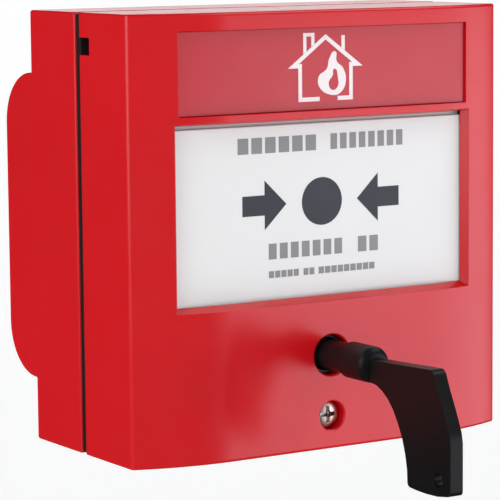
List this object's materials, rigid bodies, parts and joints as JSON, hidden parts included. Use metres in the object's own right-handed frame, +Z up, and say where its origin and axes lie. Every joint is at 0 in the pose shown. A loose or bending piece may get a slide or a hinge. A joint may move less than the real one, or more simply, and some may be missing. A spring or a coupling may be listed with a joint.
{
  "type": "manual call point",
  "caption": "Square red wall-mounted fire alarm call point with a white press plate, a flame pictogram panel, a keyhole with its black reset key, and a back box.",
  "frame": {"origin": "centre of the flat rear face that lies against the wall", "axes": "+Z up, +Y into the wall, the front with the press plate faces -Y, +X to the right as seen from the front"},
  "size_m": [0.09, 0.0984, 0.093],
  "materials": {
    "red_housing": "satin moulded plastic",
    "red_panel": "glossy printed panel",
    "white_plate": "smooth white plastic with grey printing",
    "black_plastic": "fine moulded black plastic",
    "black_seal": "matte rubber",
    "alarm_strip": "yellow and black stripes",
    "steel": "zinc plated steel",
    "brass": "turned brass",
    "circuit_board": "green solder mask on laminate",
    "terminal_plastic": "green moulded plastic",
    "resistor_body": "lacquered ceramic with colour bands",
    "switch_button": "white nylon"
  },
  "bodies": {
    "wall_box": {"back_box": "red_housing", "box_seal": "black_seal", "cable_grommet": "black_seal", "screw_insert": "brass"},
    "front_unit": {"front_cover": "red_housing", "pictogram_panel": "red_panel", "alarm_strip": "alarm_strip", "mechanism_chassis": "black_plastic", "circuit_board": "circuit_board", "microswitch_body": "black_plastic", "terminal_block": "terminal_plastic", "terminal_screw_1": "steel", "terminal_screw_2": "steel", "terminal_screw_3": "steel", "terminal_screw_4": "steel", "chassis_screw_1": "steel", "chassis_screw_2": "steel", "chassis_screw_3": "steel", "chassis_screw_4": "steel", "board_screw_1": "steel", "board_screw_2": "steel", "board_resistor_1": "resistor_body", "board_resistor_2": "resistor_body", "latch_pin": "steel", "latch_spring": "steel", "return_spring_left": "steel", "return_spring_right": "steel"},
    "plate": {"operating_plate": "white_plate", "plate_carrier": "black_plastic"},
    "cam": {"reset_cam": "black_plastic", "cam_retaining_ring": "steel"},
    "key": {"reset_key": "black_plastic"},
    "latch_hook": {"latch": "steel"},
    "lever": {"switch_lever": "steel"},
    "button": {"switch_button": "switch_button"},
    "front_screw": {"cover_screw": "steel"}
  },
  "joints": [
    {"name": "front_open", "type": "hinge", "parent": "wall_box", "child": "front_unit", "pos_m": [0, -0.0319, 0.044], "axis": [-1, 0, 0], "range_deg": [0, 75]},
    {"name": "plate_press", "type": "slide", "parent": "front_unit", "child": "plate", "axis": [0, 0.4961, -0.8682], "range_m": [0, 0.00403], "stiffness_N_per_m": 600, "springref_m": -0.008, "deforming": ["return_spring_left", "return_spring_right"]},
    {"name": "key_turn", "type": "hinge", "parent": "front_unit", "child": "cam", "pos_m": [0, -0.0538, -0.0255], "axis": [0, 1, 0], "range_deg": [0, 90]},
    {"name": "key_withdraw", "type": "slide", "parent": "cam", "child": "key", "axis": [0, -1, 0], "range_m": [0, 0.025]},
    {"name": "latch_swing", "type": "hinge", "parent": "front_unit", "child": "latch_hook", "pos_m": [-0.016, -0.0452, -0.023], "axis": [0, 1, 0], "range_deg": [0, 11.51]},
    {"name": "switch_lever_swing", "type": "hinge", "parent": "front_unit", "child": "lever", "pos_m": [0.0054, -0.04615, 0], "axis": [0, 0, -1], "range_deg": [0, 8.47]},
    {"name": "switch_button_press", "type": "slide", "parent": "front_unit", "child": "button", "axis": [0, 1, 0], "range_m": [0, 0.00112]},
    {"name": "cover_screw_turn", "type": "hinge", "parent": "front_unit", "child": "front_screw", "pos_m": [0, -0.0544, -0.0381], "axis": [0, 1, 0], "continuous": true}
  ],
  "couplings": [
    {"joint": "latch_swing", "follows": "plate_press", "rad_per_m": 49.615},
    {"joint": "switch_lever_swing", "follows": "plate_press", "rad_per_m": 36.467},
    {"joint": "switch_button_press", "follows": "plate_press", "ratio": 0.27289}
  ]
}
